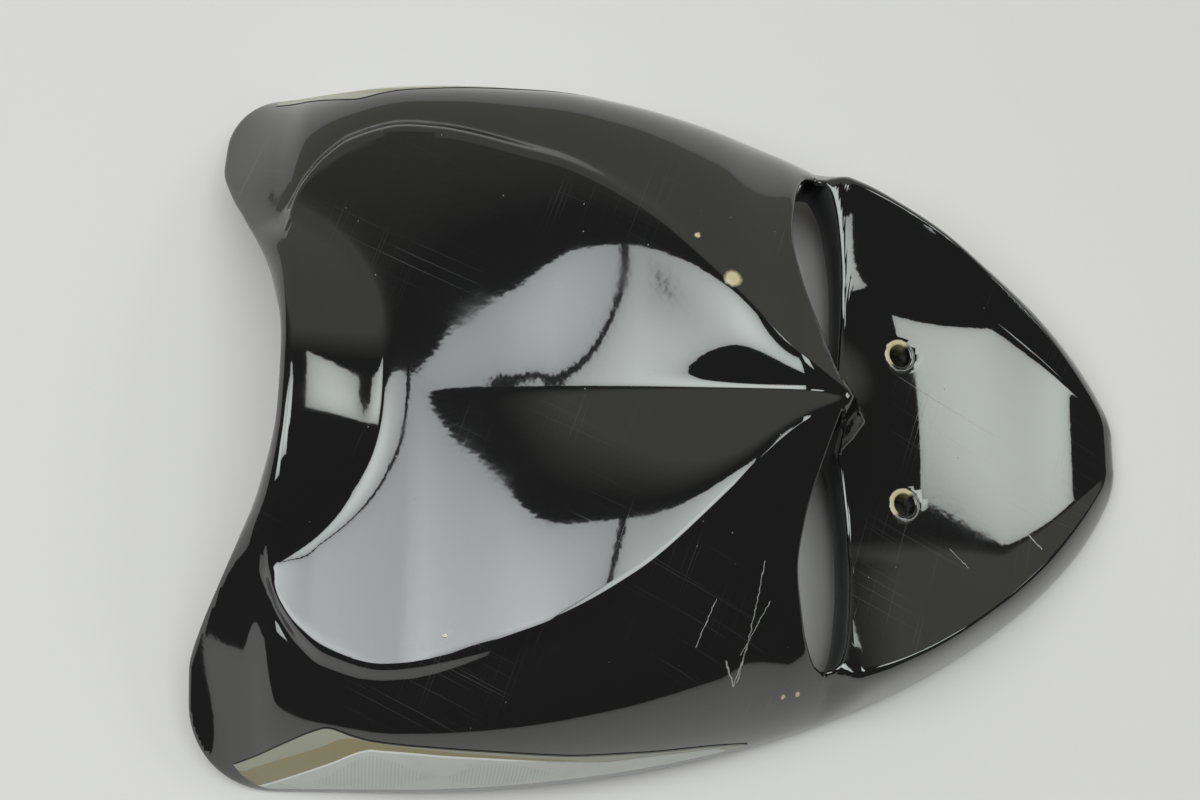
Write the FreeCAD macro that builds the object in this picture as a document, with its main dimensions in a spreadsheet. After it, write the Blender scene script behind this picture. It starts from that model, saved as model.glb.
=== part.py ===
import FreeCAD, Part
import math
import os
from FreeCAD import Vector

# Headlight fairing of a small motorcycle: one thin moulded shell that lies on its rim.
# +X points to the nose, +Z up, and the shell is the same on both sides of the XZ plane.

doc = FreeCAD.newDocument("headlight_fairing")
sheet = doc.addObject("Spreadsheet::Sheet", "sizes")

# Driving sizes in millimetres. Powers have no unit.
SIZES = [
    ("lug_end_x", -206.0, "rear ends of the two side lugs"),
    ("nose_end_x", 206.0, "front of the nose"),
    ("half_width", 158.5, "rim, from the middle plane to the side"),
    ("side_start_x", -122.0, "where the straight sides start to close towards the nose"),
    ("plan_end_x", 209.0, "where the closing sides would meet in front of the blunt nose"),
    ("side_power", 1.176, "fullness of the nose in plan"),
    ("rim_rise", 18.0, "height of the rim's arch along the sides"),
    ("rim_rise_rear_x", -186.0, "rear foot of that arch"),
    ("rim_rise_front_x", 148.0, "front foot of that arch"),
    ("wall", 2.6, "wall of the moulding"),
    ("heel_x", -192.0, "heel of the raised panel"),
    ("heel_half", 62.0, "panel half width there"),
    ("heel_edge_z", 64.0, "panel edge height there"),
    ("heel_middle_z", 64.0, "panel middle height there"),
    ("corner_x", -172.0, "rear corner of the raised panel"),
    ("corner_half", 74.0, "panel half width there"),
    ("corner_edge_z", 79.0, "panel edge height there"),
    ("corner_middle_z", 79.0, "panel middle height there"),
    ("hip_x", -160.0, "hip of the raised panel"),
    ("hip_half", 97.0, "panel half width there"),
    ("hip_edge_z", 82.0, "panel edge height there"),
    ("hip_middle_z", 82.0, "panel middle height there"),
    ("wide_x", -124.0, "widest place of the raised panel"),
    ("wide_half", 113.0, "panel half width there"),
    ("wide_edge_z", 84.2, "panel edge height there"),
    ("wide_middle_z", 84.2, "panel middle height there"),
    ("flank_x", -66.0, "flank of the raised panel"),
    ("flank_half", 98.5, "panel half width there"),
    ("flank_edge_z", 94.0, "panel edge height there"),
    ("flank_middle_z", 88.7, "panel middle height there"),
    ("waist_x", -26.0, "waist of the raised panel"),
    ("waist_half", 76.5, "panel half width there"),
    ("waist_edge_z", 102.4, "panel edge height there"),
    ("waist_middle_z", 92.5, "panel middle height there"),
    ("cheek_x", 11.5, "cheek of the raised panel"),
    ("cheek_half", 42.0, "panel half width there"),
    ("cheek_edge_z", 107.5, "panel edge height there"),
    ("cheek_middle_z", 95.5, "panel middle height there"),
    ("beak_x", 40.0, "where the panel draws in to its point"),
    ("beak_half", 15.0, "panel half width there"),
    ("beak_edge_z", 101.0, "panel edge height there"),
    ("beak_middle_z", 96.5, "panel middle height there"),
    ("point_x", 61.0, "point of the raised panel, between the eyes"),
    ("point_half", 2.5, "panel half width there"),
    ("point_edge_z", 92.5, "panel edge height there"),
    ("point_middle_z", 91.5, "panel middle height there"),
    ("cheek_power", 2.0, "fullness of the panel's cheeks beside the middle crease"),
    ("panel_step", 6.5, "drop of the rolled edge of the panel"),
    ("panel_roll", 8.0, "width of that rolled edge"),
    ("lug_power", 1.05, "fullness of the side walls at the lugs"),
    ("flank_power", 3.0, "fullness of the side walls at the flanks"),
    ("corner_power", 2.0, "fullness of the side walls at the panel's rear corners"),
    ("point_power", 3.4, "fullness of the side walls at the eyes"),
    ("side_wall_power", 0.667, "steepness of the side walls at the rim"),
    ("waist_lean", 0.28, "slope of the side walls just outside the panel's waist, as a share of their mean slope"),
    ("beak_lean", 0.38, "the same beside the panel's beak"),
    ("kick_fold_x", -129.0, "fold where the kick-up leaves the panel, at the middle"),
    ("kick_fold_z", 84.0, "height there"),
    ("kick_slope", 0.577, "slope of the kick-up's ridge at the fold"),
    ("kick_bend", 0.0035, "loss of that slope along the ridge"),
    ("kick_half", 73.0, "half width of the kick-up"),
    ("kick_fall", 23.5, "fall of the kick-up from its ridge to its sides"),
    ("kick_power", 2.5, "fullness of the kick-up across"),
    ("brink_mid_x", -164.0, "brink where the kick-up rolls down to the rear edge, at the middle"),
    ("brink_side_x", -171.0, "the same brink at the kick-up's sides"),
    ("brink_mid_fall", 10.0, "fall from the brink to the rear edge, at the middle"),
    ("brink_side_fall", 17.0, "the same at the kick-up's sides"),
    ("rear_mid_x", -170.4, "middle of the hollowed rear edge"),
    ("rear_side_x", -188.0, "rear edge where it swings out to a lug"),
    ("rear_side_y", 69.5, "half width there"),
    ("lug_inner_x", -200.3, "inner corner of a lug"),
    ("lug_end_run", 12.5, "straight run of a lug's rear end"),
    ("lug_inner_run", 18.0, "from that run to the lug's inner corner, across"),
    ("lug_corner", 34.0, "rounding of a lug's outer corner"),
    ("hood_edge_apex_x", 62.0, "hood edge at the middle"),
    ("brow_edge_x", 41.0, "hood edge over an eye, furthest to the rear"),
    ("brow_edge_y", 70.0, "half width there"),
    ("eye_inner_y", 6.0, "inner end of an eye"),
    ("eye_outer_x", 58.0, "outer end of an eye"),
    ("eye_round", 6.0, "rounding of an eye's ends"),
    ("eye_outer_y", 111.0, "half width there"),
    ("nose_edge_x", 76.0, "rear edge of the nose panel"),
    ("nose_rear_z", 45.5, "nose height at its rear edge"),
    ("nose_bolt_z", 38.2, "nose height at the bolts"),
    ("nose_badge_x", 142.0, "middle of the nose shield"),
    ("nose_badge_z", 27.0, "nose height there"),
    ("nose_front_z", 17.0, "nose height before it rolls over"),
    ("nose_roll_x", 148.0, "where the nose starts to roll over"),
    ("nose_roll_power", 4.0, "suddenness of that roll"),
    ("nose_roll_steepness", 0.4, "steepness of the roll at the rim"),
    ("bridge_rise", 8.0, "swelling of the nose at the foot of the bridge between the eyes"),
    ("bridge_length", 43.0, "length of that swelling"),
    ("bridge_half", 28.0, "half width of that swelling"),
    ("temple_x", 61.0, "rear end of the crest along the nose's side"),
    ("temple_half", 111.0, "half width there"),
    ("temple_z", 62.0, "crest height there"),
    ("jaw_x", 100.0, "crest beside the bolts"),
    ("jaw_half", 99.0, "half width there"),
    ("jaw_z", 49.0, "crest height there"),
    ("crown_x", 142.0, "crest beside the shield's middle"),
    ("crown_half", 73.0, "half width there"),
    ("crown_z", 37.0, "crest height there"),
    ("chin_x", 175.0, "crest where it turns to the front"),
    ("chin_half", 43.0, "half width there"),
    ("chin_z", 27.3, "crest height there"),
    ("tip_x", 200.0, "front end of the crest"),
    ("tip_half", 13.0, "half width there"),
    ("tip_z", 17.8, "crest height there"),
    ("dish_rear_power", 3.0, "fullness of the dished nose across, at its rear edge"),
    ("dish_front_power", 4.5, "the same at the shield's middle"),
    ("crest_power", 1.7, "roundness of the nose's side walls at the crest"),
    ("flange_depth", 24.0, "return flange along the eye, below the nose panel"),
    ("bolt_x", 97.5, "bolt holes, along the fairing"),
    ("bolt_spacing", 67.6, "bolt holes, centre to centre"),
    ("bolt_hole", 10.0, "bolt hole diameter"),
    ("bolt_sleeve", 16.0, "outer diameter of the sleeve round a bolt hole"),
    ("bolt_sleeve_drop", 14.0, "reach of that sleeve below the nose panel"),
    ("post_diameter", 12.0, "screw posts inside the hood"),
    ("post_hole", 4.2, "pilot hole of a screw post"),
    ("post_hole_depth", 18.0, "depth of that hole"),
    ("post_foot_z", 46.0, "lower end of the screw posts"),
    ("post_rear_x", -120.0, "rear pair of screw posts"),
    ("post_rear_y", 88.0, "half distance of that pair"),
    ("post_front_x", 8.0, "front pair of screw posts"),
    ("post_front_y", 92.0, "half distance of that pair"),
    ("rib", 2.0, "ribs that brace the screw posts"),
    ("rib_reach", 17.0, "reach of those ribs from the middle of a post"),
]

for row, (alias, value, meaning) in enumerate(SIZES, start=1):
    sheet.set("A%d" % row, meaning)
    sheet.set("B%d" % row, str(value))
    sheet.setAlias("B%d" % row, alias)
doc.recompute()


def size(alias):
    """The number in the sheet's cell of that name."""
    return float(sheet.get(alias))


def through(*stations):
    """A smooth rising-and-falling curve through (place, value) stations, level beyond both ends.

    Between stations it is a cubic whose slope at a station is the harmonic mean of the slopes on both
    sides, or level at a peak, so it never overshoots.
    """
    places = [place for place, value in stations]
    values = [value for place, value in stations]
    last = len(places) - 1
    chords = [(values[i + 1] - values[i]) / (places[i + 1] - places[i]) for i in range(last)]
    slopes = [chords[0]]
    for before, after in zip(chords, chords[1:]):
        slopes.append(2 * before * after / (before + after) if before * after > 0 else 0.0)
    slopes.append(chords[-1])

    def curve(place):
        if place <= places[0]:
            return values[0]
        if place >= places[last]:
            return values[last]
        i = max(k for k in range(last) if places[k] <= place)
        span = places[i + 1] - places[i]
        part = (place - places[i]) / span
        rest = 1 - part
        start = rest * rest * ((1 + 2 * part) * values[i] + part * span * slopes[i])
        end = part * part * ((1 + 2 * rest) * values[i + 1] - rest * span * slopes[i + 1])
        return start + end

    return curve


def ease(part):
    """0 before 0, 1 after 1, and a smooth S between."""
    part = min(max(part, 0.0), 1.0)
    return part * part * (3 - 2 * part)


# Stations of the raised panel, from its heel to its point between the eyes.
PANEL = ("heel", "corner", "hip", "wide", "flank", "waist", "cheek", "beak", "point")
panel_half = through(*[(size(name + "_x"), size(name + "_half")) for name in PANEL])
panel_edge = through(*[(size(name + "_x"), size(name + "_edge_z")) for name in PANEL])
panel_middle = through(*[(size(name + "_x"), size(name + "_middle_z")) for name in PANEL])

# The hood's front edge in plan, as a distance along the fairing for each half width, and the nose panel's
# rear edge. Between the two the skin drops from the hood to the nose.
hood_edge = through(
    (0.0, size("hood_edge_apex_x")),
    (size("brow_edge_y"), size("brow_edge_x")),
    (size("eye_outer_y"), size("eye_outer_x")),
    (size("half_width"), size("point_x")),
)
drop_end = through(
    (0.0, size("nose_edge_x") + size("wall")),
    (size("brow_edge_y"), size("nose_edge_x")),
    (size("half_width"), size("bolt_x")),
)
wall_power = through(
    (size("lug_end_x"), size("lug_power")),
    (size("corner_x"), size("corner_power")),
    (size("flank_x"), size("flank_power")),
    (size("point_x"), size("point_power")),
)
wall_lean = through(
    (size("hip_x"), 0.0),
    (size("waist_x"), size("waist_lean")),
    (size("beak_x"), size("beak_lean")),
)
nose_height = through(
    (size("point_x"), size("nose_rear_z") + (size("nose_edge_x") - size("point_x")) / 2),
    (size("nose_edge_x"), size("nose_rear_z")),
    (size("bolt_x"), size("nose_bolt_z")),
    (size("nose_badge_x"), size("nose_badge_z")),
    (size("nose_end_x"), size("nose_front_z")),
)

# Stations of the crest along each side of the dished nose, from the eyes to the front.
CREST = ("temple", "jaw", "crown", "chin", "tip")
crest_half = through(*[(size(name + "_x"), size(name + "_half")) for name in CREST])
crest_height = through(*[(size(name + "_x"), size(name + "_z")) for name in CREST])
dish_power = through(
    (size("nose_edge_x"), size("dish_rear_power")),
    (size("nose_badge_x"), size("dish_front_power")),
)


def rim_half(x):
    """Half width of the rim: straight along the lugs, then a full oval to the blunt nose."""
    part = (x - size("side_start_x")) / (size("plan_end_x") - size("side_start_x"))
    part = min(max(part, 0.0), 1.0)
    return size("half_width") * (1 - part * part) ** (size("side_power") / 2)


def rim_height(x):
    """The rim lies on the ground under the lugs and the nose and arches up between them."""
    part = (x - size("rim_rise_rear_x")) / (size("rim_rise_front_x") - size("rim_rise_rear_x"))
    part = min(max(part, 0.0), 1.0)
    return size("rim_rise") * math.sin(math.pi * part) ** 2


def panel_drop(x):
    """Step at the panel's rolled edge: full along the sides, gone at the heel and at the crisp front fold."""
    heel = ease((x - size("heel_x")) / (size("corner_x") - size("heel_x")))
    return size("panel_step") * heel * (1 - ease((x - size("wide_x")) / (size("cheek_x") - size("wide_x"))))


def hood(x, y):
    """Height of the hood's skin: cheeks beside the crease, the rolled edge, then the side wall."""
    half = panel_half(x)
    edge = panel_edge(x)
    middle = panel_middle(x)
    if y <= half:
        return middle + (edge - middle) * (1 - (1 - y / half) ** size("cheek_power"))
    ground = rim_height(x)
    top = edge - panel_drop(x) * ease((y - half) / size("panel_roll"))
    part = min((y - half) / max(rim_half(x) - half, size("wall")), 1.0)
    fall = (1 - part ** wall_power(x)) ** size("side_wall_power")
    return ground + (top - ground) * (fall - wall_lean(x) * part * (1 - part))


def crest_place(x):
    """Half width of the nose's crest. In front of its last station it closes with the rim."""
    return crest_half(x) * min(rim_half(x) / rim_half(size("tip_x")), 1.0)


def nose(x, y):
    """Height of the nose's skin: a shallow dish with a crest along each side, rolled over at the front."""
    ground = rim_height(x)
    half = crest_place(x)
    bridge = size("bridge_rise") * (1 - ease((x - size("point_x")) / size("bridge_length")))
    middle = nose_height(x) + bridge * math.exp(-(y / size("bridge_half")) ** 2)
    top = middle + (crest_height(x) - middle) * min(y / half, 1.0) ** dish_power(x)
    roll = max((x - size("nose_roll_x")) / (size("nose_end_x") - size("nose_roll_x")), 0.0)
    top *= (1 - min(roll, 1.0) ** size("nose_roll_power")) ** size("nose_roll_steepness")
    part = min(max(y - half, 0.0) / (rim_half(x) - half), 1.0)
    return ground + max(top - ground, 0.0) * (1 - part ** size("crest_power")) ** size("side_wall_power")


def skin(x, y):
    """Height of the whole outer skin: the hood, the drop at the eyes and the nose."""
    start = hood_edge(y)
    part = ease((x - start) / (drop_end(y) - start))
    if part == 0.0:
        return hood(x, y)
    return (1 - part) * hood(x, y) + part * nose(x, y)


# Shares of the panel's half width and of its rolled edge at which control points stand, and how many follow
# down the side wall.
PANEL_ROWS = (0.0, 0.3, 0.65, 0.93)
ROLL_ROWS = (0.15, 0.55, 1.0)
WALL_ROWS = 7
REAR_STATIONS = 22
DROP_STATIONS = 12
NOSE_STATIONS = 12
ROLL_SHARE = 0.45
CREST_SHARE = 0.95
REAR_OVERLAP = 10.4
FRONT_STEP = 0.4


def row_places(x):
    """Half widths of one station's control points: panel, rolled edge, then side wall to the rim.

    Past the beak the same rows turn from the panel's edge to the nose's crest.
    """
    rim = rim_half(x)
    turned = ease((x - size("beak_x")) / (size("nose_edge_x") - size("beak_x")))
    crest = CREST_SHARE * crest_place(x)
    half = (1 - turned) * panel_half(x) + turned * crest
    roll = min(size("panel_roll"), ROLL_SHARE * (rim - half))
    rows = [part * half for part in PANEL_ROWS]
    rows += [half + part * roll for part in ROLL_ROWS]
    for step in range(1, WALL_ROWS + 1):
        angle = 0.5 * math.pi * step / WALL_ROWS
        rows.append(half + roll + (rim - half - roll) * math.sin(angle))
    return rows


def stations():
    """Places along the fairing of the control points, close together where the skin drops."""
    rear = size("lug_end_x") - REAR_OVERLAP
    brow = size("cheek_x") + 2 * size("panel_roll")
    bolt = size("bolt_x")
    front = size("nose_end_x")
    places = [rear + (brow - rear) * k / REAR_STATIONS for k in range(REAR_STATIONS)]
    places += [brow + (bolt - brow) * k / DROP_STATIONS for k in range(DROP_STATIONS)]
    for k in range(NOSE_STATIONS):
        places.append(bolt + (front - bolt) * math.sin(0.5 * math.pi * k / (NOSE_STATIONS - 1 + FRONT_STEP)))
    return places


def outer_net():
    """Control points of one half of the outer skin, station by station from the lugs to the nose."""
    return [[Vector(x, y, skin(x, y)) for y in row_places(x)] for x in stations()]


def mirrored(point):
    return Vector(point.x, -point.y, point.z)


def inner_net(outer):
    """The outer net drawn in by the wall at the sides and the nose, and lowered by the wall."""
    wall = size("wall")
    length_share = 1 - wall / size("nose_end_x")
    width_share = 1 - wall / size("half_width")
    return [[Vector(point.x * length_share, point.y * width_share, point.z - wall) for point in row]
            for row in outer]


def even_knots(count, degree):
    """Evenly spaced knots that end on the first and last control point, with their multiplicities."""
    spans = count - degree
    knots = [k / spans for k in range(spans + 1)]
    mults = [degree + 1] + [1] * (spans - 1) + [degree + 1]
    return knots, mults


def patch(net, across_degree=3):
    """A B-spline face on a net of control points."""
    along_knots, along_mults = even_knots(len(net), 3)
    across_knots, across_mults = even_knots(len(net[0]), across_degree)
    surface = Part.BSplineSurface()
    surface.buildFromPolesMultsKnots(net, along_mults, across_mults, along_knots, across_knots,
                                     False, False, 3, across_degree)
    return surface.toShape()


def curve(points):
    """The B-spline edge that a patch has along the same control points."""
    knots, mults = even_knots(len(points), 3)
    spline = Part.BSplineCurve()
    spline.buildFromPolesMultsKnots(points, mults, knots, False, 3)
    return spline.toShape()


def closed_skin(net):
    """A solid under one half net and its mirror image, closed below and at both ends."""
    other = [[mirrored(point) for point in row] for row in net]
    floor = [[row[-1], mirrored(row[-1])] for row in net]
    faces = [patch(net), patch(other), patch(floor, 1)]
    for row, twin in ((net[0], other[0]), (net[-1], other[-1])):
        ground = Part.LineSegment(row[-1], twin[-1]).toShape()
        faces.append(Part.Face(Part.Wire([curve(row), ground, curve(twin)])))
    shell = Part.Shell(faces)
    shell.sewShape()
    solid = Part.Solid(shell)
    if solid.Volume < 0:
        solid.reverse()
    return solid


def feature(name, shape):
    item = doc.addObject("Part::Feature", name)
    item.Shape = shape
    return item


def bound(kind, name, **expressions):
    """A Part primitive whose properties follow the sheet. Two underscores stand for a dot."""
    item = doc.addObject(kind, name)
    for prop, expression in expressions.items():
        item.setExpression(prop.replace("__", "."), expression)
    return item


def join(name, *items):
    whole = doc.addObject("Part::MultiFuse", name)
    whole.Shapes = list(items)
    return whole


def cut(name, base, tool):
    result = doc.addObject("Part::Cut", name)
    result.Base = base
    result.Tool = tool
    return result


# The moulding's outer and inner skins.
outer_points = outer_net()
outer_skin = feature("outer_skin", closed_skin(outer_points))
inner_skin = feature("inner_skin", closed_skin(inner_net(outer_points)))

# The kick-up at the rear: a vault whose ridge climbs rearwards from a crisp fold in the panel to a brink,
# where it rolls down to the fairing's rear edge.
brink_x = through((0.0, size("brink_mid_x")), (size("kick_half"), size("brink_side_x")))
rear_x = through((0.0, size("rear_mid_x")), (size("rear_side_y"), size("rear_side_x")))
brink_fall = through((0.0, size("brink_mid_fall")), (size("kick_half"), size("brink_side_fall")))
KICK_ROWS = 8
KICK_OVERLAP = 12.0
CLIMB_STATIONS = 7
BRINK_ROLL = ((0.45, 0.06), (0.85, 0.35), (1.0, 0.75), (1.1, 1.3))


def vault(x, y):
    """Height of the kick-up: a parabola along its ridge, less a power of the distance from the ridge."""
    climb = size("kick_fold_x") - x
    ridge = size("kick_fold_z") + size("kick_slope") * climb - size("kick_bend") * climb * climb
    return ridge - size("kick_fall") * (y / size("kick_half")) ** size("kick_power")


def kick_net():
    """Control points of one half of the kick-up, from under the panel to behind the rear edge."""
    side = size("kick_half") + KICK_OVERLAP
    rows = [side * k / KICK_ROWS for k in range(KICK_ROWS + 1)]
    front = size("kick_fold_x") + KICK_OVERLAP
    net = []
    for k in range(CLIMB_STATIONS):
        places = [front + (brink_x(y) - front) * k / (CLIMB_STATIONS - 1) for y in rows]
        net.append([Vector(x, y, vault(x, y)) for x, y in zip(places, rows)])
    for run, fall in BRINK_ROLL:
        net.append([])
        for y in rows:
            brink = brink_x(y)
            x = brink + run * (rear_x(y) - brink)
            net[-1].append(Vector(x, y, vault(brink, y) - fall * brink_fall(y)))
    behind = size("rear_side_x") - KICK_OVERLAP
    low = net[0][-1].z
    net.append([Vector(behind, y, low + KICK_OVERLAP * (1 - (y / side) ** 2)) for y in rows])
    return net


kick_points = kick_net()
kick_up = feature("kick_up", closed_skin(kick_points))
kick_hollow = feature("kick_hollow", closed_skin(inner_net(kick_points)))
skin_walls = cut("skin_walls", outer_skin, inner_skin)
skin_open = cut("skin_open", skin_walls, kick_hollow)
kick_walls = cut("kick_walls", kick_up, kick_hollow)
kick_cap = cut("kick_cap", kick_walls, inner_skin)
walls = join("walls", skin_open, kick_cap)

# What is trimmed off behind the hollowed rear edge and round the lugs' corners.
lug_x = size("lug_end_x")
side_y = size("half_width")
corner = size("lug_corner")
straight_y = side_y - corner - size("lug_end_run")
back_x = lug_x - side_y
beyond_y = side_y + corner
rear_points = [
    Vector(size("rear_mid_x"), 0, 0),
    Vector(size("rear_side_x"), size("rear_side_y"), 0),
    Vector(size("lug_inner_x"), straight_y - size("lug_inner_run"), 0),
    Vector(lug_x, straight_y, 0),
]
rear_spline = Part.BSplineCurve()
rear_spline.interpolate(rear_points, InitialTangent=Vector(0, 1, 0), FinalTangent=Vector(0, 1, 0))
bend = corner * math.sqrt(0.5)
bend_point = Vector(lug_x + corner - bend, side_y - corner + bend, 0)
lug_turn = Vector(lug_x, side_y - corner, 0)
lug_side = Vector(lug_x + corner, side_y, 0)
rear_edges = [
    rear_spline.toShape(),
    Part.LineSegment(rear_points[-1], lug_turn).toShape(),
    Part.Arc(lug_turn, bend_point, lug_side).toShape(),
]
rear_corners = [lug_side, Vector(lug_side.x, beyond_y, 0), Vector(back_x, beyond_y, 0),
                Vector(back_x, 0, 0), rear_points[0]]
for start, end in zip(rear_corners, rear_corners[1:]):
    rear_edges.append(Part.LineSegment(start, end).toShape())
full_height = 2 * size("cheek_edge_z")
rear_prism = Part.Face(Part.Wire(rear_edges)).extrude(Vector(0, 0, full_height))
rear_prism.translate(Vector(0, 0, -full_height / 2))
middle_plane = (Vector(0, 0, 0), Vector(0, 1, 0))
rear_waste = feature("rear_waste", rear_prism.fuse(rear_prism.mirror(*middle_plane)))
trimmed = cut("trimmed", walls, rear_waste)

# The eyes: two slanting openings between the hood's edge and the nose panel's rear edge.
inner_y = size("eye_inner_y")
eye_round = size("eye_round")
outer_y = size("eye_outer_y")
nose_x = size("nose_edge_x")
brow_y = size("brow_edge_y")


def eye_front(forward):
    """The nose side of an eye in plan, moved forward, from its outer to its inner end."""
    points = [
        Vector(size("eye_outer_x") + forward, outer_y + forward, 0),
        Vector(nose_x - eye_round + forward, outer_y - eye_round + forward, 0),
        Vector(nose_x + forward, outer_y - 3 * eye_round, 0),
        Vector(nose_x + forward, brow_y, 0),
        Vector(nose_x - eye_round / 2 + forward, inner_y + 3 * eye_round, 0),
        Vector(hood_edge(inner_y) + eye_round / 2 + forward, inner_y - forward, 0),
    ]
    spline = Part.BSplineCurve()
    spline.interpolate(points)
    return spline.toShape(), points[0], points[-1]


def upright(edges, low, high):
    """A prism between two heights over a closed plan outline, and its mirror image."""
    prism = Part.Face(Part.Wire(edges)).extrude(Vector(0, 0, high - low))
    prism.translate(Vector(0, 0, low))
    return Part.makeCompound([prism, prism.mirror(*middle_plane)])


BROW_SHARES = (0.2, 0.42, 0.61, 0.8)
front_edge, front_outer, front_inner = eye_front(0.0)
brow_points = [front_inner]
for share in BROW_SHARES:
    y = inner_y + share * (outer_y - inner_y)
    brow_points.append(Vector(hood_edge(y), y, 0))
brow_points.append(front_outer)
brow_spline = Part.BSplineCurve()
brow_spline.interpolate(brow_points)
eyes = feature("eyes", upright([brow_spline.toShape(), front_edge], 0, full_height))
opened = cut("opened", trimmed, eyes)

# The return flange that stiffens the nose panel along each eye.
flange_edge, flange_outer, flange_inner = eye_front(size("wall"))
flange_outline = [front_edge, Part.LineSegment(front_inner, flange_inner).toShape(), flange_edge,
                  Part.LineSegment(flange_outer, front_outer).toShape()]
flange_low = size("nose_rear_z") - size("flange_depth")
flange_band = feature("flange_band", upright(flange_outline, flange_low, full_height))

# What stands inside the shell ends halfway into its wall.
under_skin = feature("under_skin", outer_skin.Shape.copy())
under_skin.setExpression("Placement.Base.z", "-sizes.wall / 2")

inside = [flange_band]
holes = []
for side, sign in (("right", -1), ("left", 1)):
    bolt_y = "%d * sizes.bolt_spacing / 2" % sign
    inside.append(bound("Part::Cylinder", "bolt_sleeve_" + side, Radius="sizes.bolt_sleeve / 2",
                        Height="sizes.bolt_sleeve_drop * 3", Placement__Base__x="sizes.bolt_x",
                        Placement__Base__y=bolt_y,
                        Placement__Base__z="sizes.nose_bolt_z - sizes.bolt_sleeve_drop"))
    holes.append(bound("Part::Cylinder", "bolt_hole_" + side, Radius="sizes.bolt_hole / 2",
                       Height="sizes.cheek_edge_z", Placement__Base__x="sizes.bolt_x",
                       Placement__Base__y=bolt_y))
    for place in ("rear", "front"):
        post_x = "sizes.post_%s_x" % place
        post_y = "%d * sizes.post_%s_y" % (sign, place)
        inside.append(bound("Part::Cylinder", "post_%s_%s" % (place, side),
                            Radius="sizes.post_diameter / 2", Height="sizes.cheek_edge_z",
                            Placement__Base__x=post_x, Placement__Base__y=post_y,
                            Placement__Base__z="sizes.post_foot_z"))
        inside.append(bound("Part::Box", "rib_along_%s_%s" % (place, side), Length="2 * sizes.rib_reach",
                            Width="sizes.rib", Height="sizes.cheek_edge_z",
                            Placement__Base__x=post_x + " - sizes.rib_reach",
                            Placement__Base__y=post_y + " - sizes.rib / 2",
                            Placement__Base__z="sizes.post_foot_z + sizes.post_diameter"))
        holes.append(bound("Part::Cylinder", "pilot_%s_%s" % (place, side), Radius="sizes.post_hole / 2",
                           Height="sizes.post_hole_depth", Placement__Base__x=post_x,
                           Placement__Base__y=post_y, Placement__Base__z="sizes.post_foot_z"))

inside_stock = join("inside_stock", *inside)
inside_work = doc.addObject("Part::Common", "inside_work")
inside_work.Base = under_skin
inside_work.Tool = inside_stock
moulding = join("moulding", opened, inside_work)
drilled = join("drilled", *holes)
fairing_shell = cut("fairing_shell", moulding, drilled)
doc.recompute()

for item in doc.Objects:
    if "Invalid" in item.State or "Error" in item.State:
        raise RuntimeError("%s did not build" % item.Label)

PARTS = [fairing_shell]
for item in PARTS:
    if item.Shape.isNull() or not item.Shape.isValid():
        raise RuntimeError("%s has no valid shape" % item.Label)

os.makedirs("parts", exist_ok=True)
for item in PARTS:
    item.Shape.exportStep("parts/%s.step" % item.Label)
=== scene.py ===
import math

import bpy
import numpy as np
from mathutils import Matrix, Vector


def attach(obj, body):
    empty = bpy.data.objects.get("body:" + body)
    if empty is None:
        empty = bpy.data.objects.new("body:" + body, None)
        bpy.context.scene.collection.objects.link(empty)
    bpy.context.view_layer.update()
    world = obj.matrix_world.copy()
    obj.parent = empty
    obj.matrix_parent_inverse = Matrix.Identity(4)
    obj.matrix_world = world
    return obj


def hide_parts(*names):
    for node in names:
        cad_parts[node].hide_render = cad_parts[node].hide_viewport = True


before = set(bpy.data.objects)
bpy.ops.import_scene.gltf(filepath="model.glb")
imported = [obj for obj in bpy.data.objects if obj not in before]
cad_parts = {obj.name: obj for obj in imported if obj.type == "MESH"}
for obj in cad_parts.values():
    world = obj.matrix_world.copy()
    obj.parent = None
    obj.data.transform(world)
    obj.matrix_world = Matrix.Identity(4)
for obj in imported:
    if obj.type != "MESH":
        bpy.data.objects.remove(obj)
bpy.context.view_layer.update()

# The fairing's skin: one plastic moulding, painted gloss black outside and left bare inside. It is
# worked out in millimetres as a height over the floor for each place in plan, with +X to the nose.
# The raised panel on the hood is given by stations from its heel to its point between the lamp openings.
MM = 0.001
WALL = 2.6
LUG_END, TIP, NOSE_END, HALF_WIDTH = -206.0, 200.0, 206.0, 158.5


def through(*stations):
    """A smooth curve through (place, value) stations, level beyond both ends.

    Between two stations it is a cubic. Its slope at a station is the harmonic mean of the chords on both
    sides, or level at a peak, so it never overshoots.
    """
    places, values = np.array(stations, float).T
    spans = np.diff(places)
    chords = np.diff(values) / spans
    rising = chords[:-1] * chords[1:] > 0
    means = 2 * chords[:-1] * chords[1:] / np.where(rising, chords[:-1] + chords[1:], 1)
    slopes = np.concatenate([chords[:1], np.where(rising, means, 0), chords[-1:]])

    def curve(place):
        place = np.clip(place, places[0], places[-1])
        i = np.clip(np.searchsorted(places, place, side="right") - 1, 0, len(spans) - 1)
        part = (place - places[i]) / spans[i]
        rest = 1 - part
        start = rest**2 * ((1 + 2 * part) * values[i] + part * spans[i] * slopes[i])
        end = part**2 * ((1 + 2 * rest) * values[i + 1] - rest * spans[i] * slopes[i + 1])
        return start + end

    return curve


def ease(part):
    """0 before 0, 1 after 1, and the cubic S between."""
    part = np.clip(part, 0, 1)
    return part * part * (3 - 2 * part)


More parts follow.
